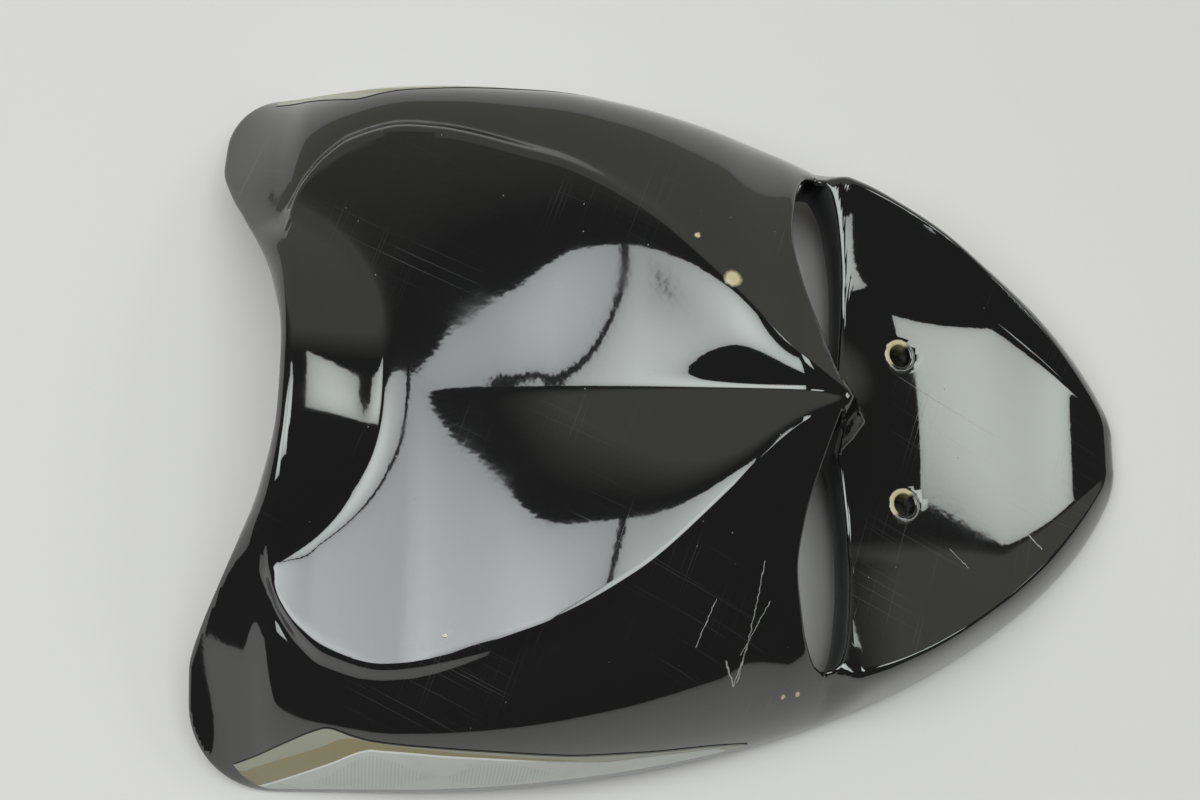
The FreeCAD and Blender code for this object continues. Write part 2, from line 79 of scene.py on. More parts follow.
panel_half = through((-207, 55), (-172, 76), (-166, 87), (-158, 98), (-147, 107), (-124, 113), (-66, 98.5),
                     (-26, 76.5), (11.5, 42), (40, 15), (61, 2.5))
wall_start = through((-207, 53), (-124, 113), (-66, 98.5), (-26, 76.5), (11.5, 42), (40, 15), (61, 2.5))
panel_middle = through((-207, 60), (-180, 71), (-167, 78.3), (-151, 80.3), (-117, 84.3), (-66, 90.3), (-26, 94.9),
                       (11.5, 96.5), (40, 97.3), (61, 91.8))
crease_depth = through((-192, 0), (-117, 0), (-103, 1), (-80, 2.5), (-55, 5.7), (-30, 7.1), (11.5, 9.9),
                       (40, 4.5), (61, 1))
hood_edge = through((0, 62), (26, 52), (50, 44), (70, 41), (95, 45.5), (105, 50), (109, 53), (112, 58),
                    (HALF_WIDTH, 61))
drop_end = through((0, 78.6), (8, 72.5), (14, 67), (28, 65), (66, 67), (87, 66), (100, 64.5), (108, 67), (114, 76),
                   (HALF_WIDTH, 97.5))
wall_power = through((LUG_END, 1.05), (-150, 2.5), (-45, 3.0), (20, 3.0), (58, 3.4))
wall_lean = through((LUG_END, 0), (-150, 0.14), (-100, 0.17), (-26, 0.28), (40, 0.38))
nose_height = through((61, 51), (76, 45.5), (97.5, 38.2), (142, 27), (NOSE_END, 17))
crest_half = through((61, 111), (80, 107), (100, 99), (120, 88), (142, 73), (165, 53), (185, 31), (TIP, 13))
crest_height = through((61, 58), (70, 56.8), (80, 55.2), (100, 50.4), (120, 45.6), (142, 37), (165, 30.5),
                       (185, 23.7), (TIP, 17.8))
bridge_foot = through((61, 8), (76, 5), (90, 1.6), (104, 0))
PANEL_ROLL, PANEL_STEP = 8.0, 6.5
SIDE_START, SIDE_LENGTH, SIDE_POWER = -122.0, 331.0, 0.588
RIM_RISE, RISE_START, RISE_LENGTH = 18.0, -186.0, 334.0


def rim_half(x):
    """Half width of the rim: straight along the lugs, then an oval to the blunt nose."""
    part = np.clip((x - SIDE_START) / SIDE_LENGTH, 0, 1)
    return HALF_WIDTH * (1 - part**2) ** SIDE_POWER


def rim_height(x):
    """The rim lies on the floor at the lugs and the nose and arches up between, as a squared sine."""
    return RIM_RISE * np.sin(np.pi * np.clip((x - RISE_START) / RISE_LENGTH, 0, 1)) ** 2


CREASE_ROUND, CREASE_POWER = 2.5, 2.2
STEP_REAR, STEP_FADE, FADE_LENGTH = -168.0, -124.0, 135.5
WALL_ROUND = 0.667


def hood(x, y):
    """Height of the hood: cheeks that rise from the middle crease to the panel's edge by a power of the
    distance left to it, a rolled step, then a side wall that falls to the rim as a superellipse."""
    half, middle = panel_half(x), panel_middle(x)
    edge = middle + crease_depth(x)
    inside = edge - crease_depth(x) * np.clip(1 - np.hypot(y, CREASE_ROUND) / half, 0, 1) ** CREASE_POWER
    beyond = np.hypot(np.maximum(y - half, 0), np.maximum(STEP_REAR - x, 0))
    step = PANEL_STEP * (1 - ease((x - STEP_FADE) / FADE_LENGTH)) * ease(beyond / PANEL_ROLL)
    top = np.where(y <= half, inside, edge) - step
    ground = rim_height(x)
    start = wall_start(x)
    part = np.clip((y - start) / np.maximum(rim_half(x) - start, 1), 0, 1)
    fall = (1 - part ** wall_power(x)) ** WALL_ROUND - wall_lean(x) * part * (1 - part)
    return ground + (top - ground) * fall


def crest_place(x):
    """Half width of the nose at its crests, which close with the rim at the tip."""
    return crest_half(x) * np.minimum(rim_half(x) / rim_half(TIP), 1)


BRIDGE_WIDTH, DISH_HALF, DISH_SIZE = 28.0, 60.0, 1300.0
LEVEL_HALF, LEVEL_SHARE = 56.0, 0.78
RAMP_SOFT, RAMP_TOTAL = 0.02, 2.01
ROLL_START, ROLL_POWER, ROLL_ROUND = 148.0, 4, 0.4
NOSE_WALL_POWER = 1.7


def nose(x, y):
    """Height of the nose: a shallow parabola across its middle, then a ramp on each side, which starts as
    a hyperbola does, to a crest. Outside the crest it falls to the rim as a superellipse, and it rolls
    over at the front."""
    ground = rim_height(x)
    half = crest_place(x)
    crest = crest_height(x)
    middle = nose_height(x) + bridge_foot(x) * np.exp(-((y / BRIDGE_WIDTH) ** 2))
    middle = middle + np.minimum(y, DISH_HALF) ** 2 / DISH_SIZE
    level = np.minimum(LEVEL_HALF, LEVEL_SHARE * half)
    along = np.clip((y - level) / np.maximum(half - level, 0.1), -3, 1)
    inside = middle + (crest - middle) * (along + np.sqrt(along**2 + RAMP_SOFT)) / RAMP_TOTAL
    part = np.clip((y - half) / np.maximum(rim_half(x) - half, 0.1), 0, 1)
    roll = np.clip((x - ROLL_START) / (NOSE_END - ROLL_START), 0, 1)
    top = inside * (1 - roll**ROLL_POWER) ** ROLL_ROUND
    return ground + np.maximum(top - ground, 0) * (1 - part**NOSE_WALL_POWER) ** WALL_ROUND


RIDGE_START, RIDGE_HEIGHT, RIDGE_SLOPE, RIDGE_BEND = -129.0, 84.0, 0.577, 0.0035
VAULT_DROP, VAULT_HALF, VAULT_POWER = 23.5, 73.0, 2.5


def kick_up(x, y):
    """Height of the swelling at the panel's rear: a vault whose ridge climbs rearwards on a parabola and
    which falls to both sides by a power of the half width."""
    climb = RIDGE_START - x
    ridge = RIDGE_HEIGHT + RIDGE_SLOPE * climb - RIDGE_BEND * climb**2
    return ridge - VAULT_DROP * (y / VAULT_HALF) ** VAULT_POWER


rear_spline = through((0, -170.4), (17, -171), (45, -177.5), (69.5, -188), (81, -193.5), (94, -200.3), (112, -206),
                      (124.5, -206))
LUG_CORNER = 34.0
panel_rear = through((0, -164), (13, -164.3), (31, -165.6), (50, -167.3), (73, -171), (90, -171))
rear_height = through((0, 90), (20, 87), (45, 73.5), (69.5, 64), (81, 60.5), (94, 56))
FOLD_SOFT = 2.5
BAND_SHARE, BAND_ROUND = 1.2, 0.9
LUG_BLEND_START, LUG_BLEND = 56.0, 36.0


def rear_edge(y):
    """Place along the fairing of its rear edge: hollowed in the middle, round at the lugs' outer corners."""
    past = np.clip(y - HALF_WIDTH + LUG_CORNER, 0, LUG_CORNER)
    return rear_spline(y) + LUG_CORNER - np.sqrt(LUG_CORNER**2 - past**2)


def skin(x, y):
    """Height of the whole outer skin: hood, swelling, drop at the lamp openings and nose. Behind the
    panel's rear edge a band rolls down to the rear edge as an ellipse and blends into the lugs."""
    y = np.abs(y)
    start = hood_edge(y)
    part = ease((x - start) / (drop_end(y) - start))
    ridge = panel_rear(y)
    fore = np.maximum(x, ridge)
    low = (1 - part) * hood(fore, y) + part * nose(fore, y)
    high = kick_up(fore, y)
    top = (low + high + np.hypot(low - high, FOLD_SOFT)) / 2
    rolled = np.clip((ridge - x) / (ridge - rear_edge(y)), 0, 1)
    band = top - BAND_SHARE * (top - rear_height(y)) * (1 - np.sqrt(1 - BAND_ROUND * rolled**2))
    lug = hood(x, y)
    middle = 1 - ease((y - LUG_BLEND_START) / LUG_BLEND)
    return np.where(x < ridge, middle * band + (1 - middle) * lug, top)


EYE_INNER, EYE_OUTER = 6, 112
eye_nose_edge = through((EYE_INNER, 61), (12, 64.2), (28, 67.4), (50, 69.3), (66, 69.5), (87, 68), (100, 65.8),
                        (108, 62), (EYE_OUTER, 58))
BOLT_X, BOLT_Y = 97.5, 33.8
# The skin is cut a little wider than the sleeve's bore, and the sleeve's collar covers the cut.
SKIN_HOLE = 6.2
REAR_SLANT, NO_EDGE = 0.9, 9


def room(x, y):
    """Distance in plan to the nearest cut edge, positive on the plastic and negative in an opening."""
    y = np.abs(y)
    rear = (x - rear_edge(y)) * REAR_SLANT
    eye = np.maximum(hood_edge(y) - x, x - eye_nose_edge(y))
    eye = np.where((y > EYE_INNER) & (y < EYE_OUTER), eye, NO_EDGE)
    bolt = np.hypot(x - BOLT_X, y - BOLT_Y) - SKIN_HOLE
    return np.minimum(np.minimum(rear, eye), bolt)


NET_STEP = 1.1


def net_places():
    """Plan places of the net, station by station from the lugs to the nose.

    Its columns follow the panel's edge and the rolled step, or the crest on the nose, then close up
    towards the rim as a sine.
    """
    stations = np.concatenate([
        np.arange(-207, -125, NET_STEP), np.arange(-125, 36, 2 * NET_STEP), np.arange(36, 100, NET_STEP),
        100 + 105.9 * np.sin(np.linspace(0.01, 0.5, 56) * np.pi)])
    x = stations[:, None]
    on_nose = ease((x - 58) / 22)
    half = (1 - on_nose) * np.maximum(panel_half(x), 9) + on_nose * (crest_place(x) - 4)
    rim = rim_half(x)
    half = np.minimum(half, 0.7 * rim)
    roll = np.minimum(PANEL_ROLL, 0.3 * (rim - half))
    wall = np.sin(np.linspace(0, 0.5, 38)[1:] * np.pi)
    y = np.concatenate([
        half * np.linspace(0, 1, 36)[:-1], half + roll * np.linspace(0, 1, 8),
        half + roll + (rim - half - roll) * wall], axis=1)
    y = np.concatenate([-y[:, :0:-1], y], axis=1)
    return np.broadcast_to(x, y.shape).copy(), y


def snapped(x, y, gap):
    """Moves the net's points that lie nearest to a cut edge onto it.

    Along each of the net's four directions, a sign change of the gap gives the share of the step at which
    it is nought. A point takes the shortest of its steps, if that is at most half of one.
    """
    none = 9.0
    best = np.full(x.shape, none)
    move_x, move_y = np.zeros_like(x), np.zeros_like(y)
    for axis in (0, 1):
        for step in (1, -1):
            far = [np.roll(values, -step, axis) for values in (x, y, gap)]
            crosses = gap * far[2] < 0
            edge = [slice(None), slice(None)]
            edge[axis] = -1 if step == 1 else 0
            crosses[tuple(edge)] = False
            share = np.where(crosses, gap / np.where(crosses, gap - far[2], 1), none)
            nearer = (share <= 0.5) & (share < best)
            best = np.where(nearer, share, best)
            move_x = np.where(nearer, share * (far[0] - x), move_x)
            move_y = np.where(nearer, share * (far[1] - y), move_y)
    return x + move_x, y + move_y, np.where(best < none, 0, gap)


def trimmed_triangles(x, y, gap):
    """Triangles of the net that lie on the plastic, with diagonals that don't cross a cut edge."""
    index = np.arange(x.size).reshape(x.shape)
    a, b, c, d = index[:-1, :-1], index[1:, :-1], index[1:, 1:], index[:-1, 1:]
    a, b, c, d = (corner.ravel() for corner in (a, b, c, d))
    gap = gap.ravel()
    turned = (gap[a] < 0) | (gap[c] < 0)
    first = np.where(turned[:, None], np.stack([a, b, d], 1), np.stack([a, b, c], 1))
    second = np.where(turned[:, None], np.stack([b, c, d], 1), np.stack([a, c, d], 1))
    triangles = np.concatenate([first, second])
    middle_x, middle_y = (values.ravel()[triangles].mean(1) for values in (x, y))
    kept = (gap[triangles] >= 0).all(1) & (room(middle_x, middle_y) > 0)
    return triangles[kept]


def unit(vectors):
    """Vectors brought to length one."""
    return vectors / np.maximum(np.linalg.norm(vectors, axis=1, keepdims=True), 1e-9)


def point_normals(points, triangles):
    """Normals of the points: the area-weighted sum of the normals of the triangles round each."""
    a, b, c = (points[triangles[:, k]] for k in range(3))
    across = np.cross(b - a, c - a)
    total = np.zeros_like(points)
    for k in range(3):
        np.add.at(total, triangles[:, k], across)
    return unit(total)


def rounded_rim(points, normals, triangles, rows):
    """The moulding's edge: between the two skins, a half circle as wide as the wall, swept round each cut.

    A row of it stands at the wall's middle, plus half the wall times the cosine of its angle along the
    normal and the sine along the direction that leaves the skin.
    """
    starts = triangles.ravel()
    ends = np.roll(triangles, -1, axis=1).ravel()
    total = len(points)
    open_edge = ~np.isin(starts * total + ends, ends * total + starts)
    starts, ends = starts[open_edge], ends[open_edge]
    leaving = np.zeros_like(points)
    for corner in (starts, ends):
        np.add.at(leaving, corner, np.cross(points[ends] - points[starts], normals[corner]))
    used = np.unique(np.concatenate([starts, ends]))
    place = np.zeros(total, int)
    place[used] = np.arange(len(used))
    leaving = unit(leaving[used])
    upward = normals[used]
    middle = points[used] - WALL / 2 * upward
    rings = []
    for angle in np.linspace(0, np.pi, rows + 2)[1:-1]:
        rings.append(middle + WALL / 2 * (np.cos(angle) * upward + np.sin(angle) * leaving))
    rows_of = [used] + [2 * total + len(used) * k + np.arange(len(used)) for k in range(rows)] + [used + total]
    quads = []
    for upper, lower in zip(rows_of, rows_of[1:]):
        i, j = place[starts], place[ends]
        quads.append(np.stack([upper[j], upper[i], lower[i], lower[j]], 1))
    return np.concatenate(rings), np.concatenate(quads)


def shell():
    """The skin as a closed wall: the outer net, the same net set in by the wall, and the rim between."""
    x, y = net_places()
    x, y, gap = snapped(x, y, room(x, y) - WALL / 2)
    points = np.stack([x, y, skin(x, y)], axis=2).reshape(-1, 3)
    triangles = trimmed_triangles(x, y, gap)
    kept = np.unique(triangles)
    new_place = np.zeros(len(points), int)
    new_place[kept] = np.arange(len(kept))
    points, triangles = points[kept], new_place[triangles]
    normals = point_normals(points, triangles)
    rim_points, rim_quads = rounded_rim(points, normals, triangles, 4)
    inner = points - WALL * normals
    every = np.concatenate([points, inner, rim_points])
    every[:, 2] = np.maximum(every[:, 2], 0)
    flipped = triangles[:, ::-1] + len(points)
    return every, triangles, flipped, rim_quads


skin_points, outer_faces, inner_faces, rim_faces = shell()
fairing_mesh = bpy.data.meshes.new("fairing_skin")
fairing_mesh.from_pydata((skin_points * MM).tolist(), [],
                         outer_faces.tolist() + inner_faces.tolist() + rim_faces.tolist())
fairing_mesh.polygons.foreach_set("use_smooth", [True] * len(fairing_mesh.polygons))
fairing_mesh.polygons.foreach_set("material_index", np.repeat(
    [0, 1, 0], [len(outer_faces), len(inner_faces), len(rim_faces)]).astype(np.int32))
fairing = bpy.data.objects.new("fairing_skin", fairing_mesh)
bpy.context.scene.collection.objects.link(fairing)


def add(tree, kind, inputs, **settings):
    """A new shader node with its settings, and a value or a link for each named input."""
    node = tree.nodes.new("ShaderNode" + kind)
    for name, value in settings.items():
        setattr(node, name, value)
    for name, value in inputs.items():
        if isinstance(value, bpy.types.NodeSocket):
            tree.links.new(value, node.inputs[name])
        else:
            node.inputs[name].default_value = value
    return node


def calc(tree, operation, *values):
    """The result of an operation on values."""
    return add(tree, "Math", dict(enumerate(values)), operation=operation).outputs[0]


def vector_calc(tree, operation, *values):
    """The result of an operation on vectors."""
    node = add(tree, "VectorMath", dict(enumerate(values)), operation=operation)
    return node.outputs["Value" if operation in ("DOT_PRODUCT", "LENGTH") else "Vector"]


def between(tree, value, low, high):
    """0 below the low value, 1 above the high one, and an S between them."""
    return add(tree, "MapRange", {"Value": value, "From Min": low, "From Max": high},
               interpolation_type="SMOOTHSTEP").outputs["Result"]


def noise(tree, place, scale, detail=1.0):
    """A cloudy value round a half."""
    return add(tree, "TexNoise", {"Vector": place, "Scale": scale, "Detail": detail}).outputs["Fac"]


def mixed(tree, share, first, second):
    """The first colour with a share of the second in it."""
    return add(tree, "Mix", {"Factor": share, 6: first, 7: second}, data_type="RGBA").outputs[2]


def group(name, inputs, output):
    """An empty node group with named inputs and one output."""
    tree = bpy.data.node_groups.new(name, "ShaderNodeTree")
    for label, kind in inputs:
        tree.interface.new_socket(label, in_out="INPUT", socket_type="NodeSocket" + kind)
    tree.interface.new_socket(output, in_out="OUTPUT", socket_type="NodeSocketFloat")
    return tree, tree.nodes.new("NodeGroupInput").outputs, tree.nodes.new("NodeGroupOutput").inputs[0]


# Fine wiping scratches for paint and vinyl: cloudy streaks, drawn out along one direction and cut to threads.
hairlines, given, result = group("hairlines", [("Place", "Vector"), ("Turn", "Float")], "Mask")
turned = add(hairlines, "VectorRotate", {"Vector": given["Place"], "Angle": given["Turn"]}, rotation_type="Z_AXIS")
drawn = vector_calc(hairlines, "MULTIPLY", turned.outputs[0], (11, 1500, 11))
threads = between(hairlines, noise(hairlines, drawn, 1.0, 0.0), 0.70, 0.84)
patches = between(hairlines, noise(hairlines, given["Place"], 17.0), 0.48, 0.72)
hairlines.links.new(calc(hairlines, "MULTIPLY", threads, patches), result)

# Dust for paint, vinyl and bare plastic: a small grain in some of the cells of a random net.
dust, given, result = group("dust", [("Place", "Vector")], "Mask")
cells = add(dust, "TexVoronoi", {"Vector": given["Place"], "Scale": 150.0})
grain = between(dust, calc(dust, "SUBTRACT", 0.05, cells.outputs["Distance"]), 0.0, 0.02)
chosen = calc(dust, "GREATER_THAN", add(dust, "SeparateColor", {0: cells.outputs["Color"]}).outputs[0], 0.62)
dust.links.new(calc(dust, "MULTIPLY", grain, chosen), result)

# A single scratch for the paint, straight between two places in plan; a chip where both are the same place.
scratch, given, result = group(
    "scratch", [("Place", "Vector"), ("From", "Vector"), ("To", "Vector"), ("Width", "Float")], "Mask")
run = vector_calc(scratch, "SUBTRACT", given["To"], given["From"])
away = vector_calc(scratch, "MULTIPLY", vector_calc(scratch, "SUBTRACT", given["Place"], given["From"]), (1, 1, 0))
share = calc(scratch, "DIVIDE", *(vector_calc(scratch, "DOT_PRODUCT", other, run) for other in (away, run)))
share = add(scratch, "Clamp", {"Value": share}).outputs[0]
foot = add(scratch, "VectorMath", {0: run, "Scale": share}, operation="SCALE").outputs["Vector"]
gap_left = vector_calc(scratch, "LENGTH", vector_calc(scratch, "SUBTRACT", away, foot))
core, fringe = (calc(scratch, "MULTIPLY", given["Width"], part) for part in (0.3, 0.6))
scratch.links.new(calc(scratch, "SUBTRACT", 1.0, between(scratch, gap_left, core, fringe)), result)

# The gloss black paint on the fairing's outside: a smooth black lacquer with orange peel, wiping scratches,
# a few deeper ones that show grey, chips down to the cream primer and worn rings at the bolt holes.
paint = bpy.data.materials.new("gloss_black_paint")
paint.use_nodes = True
tree = paint.node_tree
place = add(tree, "TexCoord", {}).outputs["Object"]
peel = calc(tree, "MULTIPLY", noise(tree, place, 300.0), 0.007)
swell = calc(tree, "MULTIPLY", noise(tree, place, 65.0, 0.0), 0.016)
wiped = calc(tree, "MAXIMUM", *(
    add(tree, "Group", {"Place": place, "Turn": turn}, node_tree=hairlines).outputs[0] for turn in (0.45, 1.9)))
grains = add(tree, "Group", {"Place": place}, node_tree=dust).outputs[0]
clouds = add(tree, "TexNoise", {"Vector": place, "Scale": 420.0}).outputs["Color"]
jitter = vector_calc(tree, "SUBTRACT", clouds, (0.5, 0.5, 0.5))
frayed = vector_calc(tree, "ADD", place, vector_calc(tree, "MULTIPLY", jitter, (0.0016, 0.0016, 0)))
cut = 0.0
for start, end, width in (
        ((26, -70), (18, -116), 0.35), ((29, -85), (18, -106), 0.3), ((12, -109), (16.5, -117.5), 0.7),
        ((19.5, -107), (16.5, -117.5), 0.6), ((6, -86), (-1, -104), 0.3), ((157, -43), (161.5, -49.5), 0.5),
        ((118, -52), (126, -60), 0.35)):
    line = add(tree, "Group", {
        "Place": frayed, "From": (*(MM * value for value in start), 0), "To": (*(MM * value for value in end), 0),
        "Width": MM * width}, node_tree=scratch).outputs[0]
    cut = calc(tree, "MAXIMUM", line, cut)
chip = 0.0
for spot, width in (((12, 44), 7.4), ((-2, 63), 2.6), ((46.5, -118), 2.0), ((40, -119.5), 1.8), ((-100, -102), 1.6)):
    spot = (MM * spot[0], MM * spot[1], 0)
    bare = add(tree, "Group", {
        "Place": frayed, "From": spot, "To": spot, "Width": MM * width}, node_tree=scratch).outputs[0]
    chip = calc(tree, "MAXIMUM", bare, chip)
along, side, _ = add(tree, "SeparateXYZ", {0: frayed}).outputs
ahead = calc(tree, "SUBTRACT", along, MM * BOLT_X)
aside = calc(tree, "SUBTRACT", side, calc(tree, "MULTIPLY", calc(tree, "SIGN", side), MM * BOLT_Y))
from_bolt = calc(tree, "SQRT", calc(tree, "ADD", *(calc(tree, "MULTIPLY", side, side) for side in (ahead, aside))))
leaning = calc(tree, "SUBTRACT", calc(tree, "MULTIPLY", aside, 0.6), calc(tree, "MULTIPLY", ahead, 0.8))
facing = calc(tree, "DIVIDE", leaning, from_bolt)
crescent = calc(tree, "MULTIPLY", between(tree, facing, -0.15, 0.3), calc(
    tree, "SUBTRACT", 1.0, between(tree, from_bolt, 0.0069, 0.0074)))
thin_ring = calc(tree, "MULTIPLY", between(tree, from_bolt, 0.0065, 0.0067), calc(
    tree, "SUBTRACT", 1.0, between(tree, from_bolt, 0.0072, 0.0074)))
colour = mixed(tree, calc(tree, "MULTIPLY", wiped, 0.45), (0.006, 0.006, 0.0065, 1), (0.09, 0.09, 0.09, 1))
colour = mixed(tree, calc(tree, "MULTIPLY", grains, 0.5), colour, (0.3, 0.3, 0.29, 1))
colour = mixed(tree, calc(tree, "MULTIPLY", cut, 0.8), colour, (0.42, 0.42, 0.4, 1))
colour = mixed(tree, calc(tree, "MULTIPLY", thin_ring, 0.6), colour, (0.5, 0.5, 0.47, 1))
colour = mixed(tree, calc(tree, "MAXIMUM", chip, crescent), colour, (0.62, 0.53, 0.3, 1))
worn = calc(tree, "MAXIMUM", calc(tree, "MAXIMUM", chip, crescent), calc(tree, "MAXIMUM", cut, grains))
smudge = calc(tree, "MULTIPLY", between(tree, noise(tree, place, 23.0, 3.0), 0.45, 0.8), 0.05)
dulled = calc(tree, "ADD", calc(tree, "MULTIPLY", worn, 0.45), calc(tree, "MULTIPLY", wiped, 0.12))
rough = calc(tree, "ADD", calc(tree, "ADD", 0.03, smudge), dulled)
dug = calc(tree, "MULTIPLY", calc(tree, "MAXIMUM", chip, cut), 0.06)
relief = calc(tree, "SUBTRACT", calc(tree, "ADD", peel, swell), dug)
bump = add(tree, "Bump", {"Height": relief, "Distance": MM, "Strength": 1.0})
shader = tree.nodes["Principled BSDF"]
shader.inputs["IOR"].default_value = 1.6
shader.inputs["Specular IOR Level"].default_value = 1.0
tree.links.new(colour, shader.inputs["Base Color"])
tree.links.new(rough, shader.inputs["Roughness"])
tree.links.new(bump.outputs[0], shader.inputs["Normal"])
fairing_mesh.materials.append(paint)

# The bare plastic inside: dull black, with the mould's fine grain, pale flow marks and dust.
plastic = bpy.data.materials.new("bare_black_plastic")
plastic.use_nodes = True
tree = plastic.node_tree
place = add(tree, "TexCoord", {}).outputs["Object"]
flow = between(tree, noise(tree, vector_calc(tree, "MULTIPLY", place, (9, 34, 20)), 1.0, 3.0), 0.42, 0.7)
grains = add(tree, "Group", {"Place": place}, node_tree=dust).outputs[0]
colour = mixed(tree, flow, (0.016, 0.016, 0.017, 1), (0.03, 0.03, 0.031, 1))
colour = mixed(tree, calc(tree, "MULTIPLY", grains, 0.7), colour, (0.22, 0.21, 0.19, 1))
rough = calc(tree, "ADD", 0.42, calc(tree, "MULTIPLY", noise(tree, place, 60.0, 2.0), 0.2))
bump = add(tree, "Bump", {"Height": calc(tree, "MULTIPLY", noise(tree, place, 1400.0, 2.0), 0.03), "Distance": MM})
shader = tree.nodes["Principled BSDF"]
tree.links.new(colour, shader.inputs["Base Color"])
tree.links.new(rough, shader.inputs["Roughness"])
tree.links.new(bump.outputs[0], shader.inputs["Normal"])
fairing_mesh.materials.append(plastic)
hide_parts("fairing_shell")
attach(fairing, "root")

# The return flanges: a wall of bare plastic moulded in below the nose's edge along each lamp opening, which
# stiffens it. Its section is carried along a line in plan and runs up into the middle of the skin.
FLANGE_LOW = 21.5


def built(name, points, faces, material):
    """A smooth object of points in millimetres, which rides on the fairing."""
    mesh = bpy.data.meshes.new(name)
    mesh.from_pydata((points * MM).tolist(), [], faces)
    mesh.polygons.foreach_set("use_smooth", [True] * len(mesh.polygons))
    mesh.materials.append(material)
    piece = bpy.data.objects.new(name, mesh)
    bpy.context.scene.collection.objects.link(piece)
    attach(piece, "root")
    return piece


def woven(rows, columns):
    """Faces of a grid whose rows each close on themselves."""
    index = np.arange(rows * columns).reshape(rows, columns)
    after = np.roll(index, -1, axis=1)
    return np.stack([index[:-1], index[1:], after[1:], after[:-1]], axis=2).reshape(-1, 4).tolist()


def hanging_wall(x, y, low, thick):
    """A wall under the skin along a line in plan, as a closed section carried along that line.

    The section goes down one side from the middle of the skin, round the lower edge as a half circle as
    wide as the wall is thick, and up the other side.
    """
    ahead = np.stack([np.gradient(x), np.gradient(y)], axis=1)
    ahead = ahead / np.linalg.norm(ahead, axis=1, keepdims=True)
    turn = np.linspace(np.pi, 2 * np.pi, 9)
    across = thick / 2 * np.concatenate([[-1], np.cos(turn), [1]])
    wall_x = x[:, None] - ahead[:, 1:] * across
    wall_y = y[:, None] + ahead[:, :1] * across
    z = np.broadcast_to(low + thick / 2 * (1 + np.concatenate([[0], np.sin(turn), [0]])), wall_x.shape).copy()
    z[:, [0, -1]] = skin(wall_x, wall_y)[:, [0, -1]] - WALL / 2
    faces = woven(len(x), len(across))
    faces += [list(range(len(across))), list(range((len(x) - 1) * len(across), len(x) * len(across)))[::-1]]
    return np.stack([wall_x, wall_y, z], axis=2).reshape(-1, 3), faces


flange_x = through((0, 62.3), (0.06, 65.5), (0.2, 68.7), (0.45, 70.7), (0.6, 70.8), (0.78, 69.3), (0.88, 67.2),
                   (0.94, 64), (0.975, 60), (1, 55))
flange_y = through((0, 8), (0.06, 12), (0.2, 28), (0.45, 52), (0.6, 67), (0.78, 87), (0.88, 99.5), (0.94, 107.5),
                   (0.975, 112.5), (1, 113))
for name, sign in (("left_flange", 1), ("right_flange", -1)):
    line = np.linspace(0, 1, 160)
    points, faces = hanging_wall(flange_x(line), flange_y(line), FLANGE_LOW, WALL)
    points[:, 1] *= sign
    built(name, points, [face[::-1] for face in faces] if sign < 0 else faces, plastic)

# The bolt sleeves: a tube below each hole in the nose, painted as the skin is, with a collar that lies on the
# paint round the hole. Each is a closed profile of radius and lift off the skin, turned about the hole; a lift
# of nought stands for the sleeve's lower end.
SLEEVE_LOW, SLEEVE_SIDES = 24.2, 72
for name, sign in (("left_sleeve", 1), ("right_sleeve", -1)):
    turn = np.linspace(0, 2 * np.pi, SLEEVE_SIDES + 1)[:-1]
    radius = np.array([5.0, 5.0, 5.0, 5.1, 5.4, 6.8, 7.2, 7.4, 7.5, 8.0, 8.0])[:, None]
    lift = np.array([0, -6, -0.9, 0.1, 0.3, 0.34, 0.2, -0.1, -1.3, -1.3, 0])[:, None]
    x = BOLT_X + radius * np.cos(turn)
    y = sign * BOLT_Y + radius * np.sin(turn)
    z = np.where(lift == 0, SLEEVE_LOW, skin(x, y) + lift)
    points = np.stack([x, y, z], axis=2).reshape(-1, 3)
    faces = woven(len(radius), len(turn))
    first = np.arange(SLEEVE_SIDES)
    after = np.roll(first, -1)
    last = SLEEVE_SIDES * (len(radius) - 1)
    faces += np.stack([first + last, first, after, after + last], axis=1).tolist()
    sleeve = built(name, points, [face[::-1] for face in faces], paint)

# The screw posts: four round posts of bare plastic moulded in under the hood, each with a pilot hole from below
# and a rib fore and aft. A post is a profile turned about its axis, and both run up into the skin.
POST_FOOT, POST_RADIUS, POST_SIDES = 46.0, 6.0, 48
PILOT_RADIUS, PILOT_DEEP = 2.1, 18.0
RIB_FOOT, RIB_REACH, RIB_THICK = 58.0, 17.0, 2.0
PILOT_EDGE, POST_EDGE = 0.4, 0.5
for name, post_x, post_y in (
        ("rear_left", -120, 88), ("rear_right", -120, -88), ("front_left", 8, 92), ("front_right", 8, -92)):
    turn = np.linspace(0, 2 * np.pi, POST_SIDES + 1)[:-1]
    radius = np.array([0.05, PILOT_RADIUS, PILOT_RADIUS, PILOT_RADIUS + PILOT_EDGE, POST_RADIUS - POST_EDGE,
                       POST_RADIUS, POST_RADIUS])[:, None]
    lift = np.array([PILOT_DEEP, PILOT_DEEP, PILOT_EDGE, 0, 0, POST_EDGE, 0])[:, None]
    x = post_x + radius * np.cos(turn)
    y = post_y + radius * np.sin(turn)
    z = np.broadcast_to(POST_FOOT + lift, x.shape).copy()
    z[-1] = skin(x[-1], y[-1]) - WALL / 2
    faces = [face[::-1] for face in woven(len(radius), POST_SIDES)]
    built(name + "_post", np.stack([x, y, z], axis=2).reshape(-1, 3), faces, plastic)
    run = post_x + np.linspace(-RIB_REACH, RIB_REACH, 30)
    built(name + "_rib", *hanging_wall(run, np.full_like(run, post_y), RIB_FOOT, RIB_THICK), plastic)

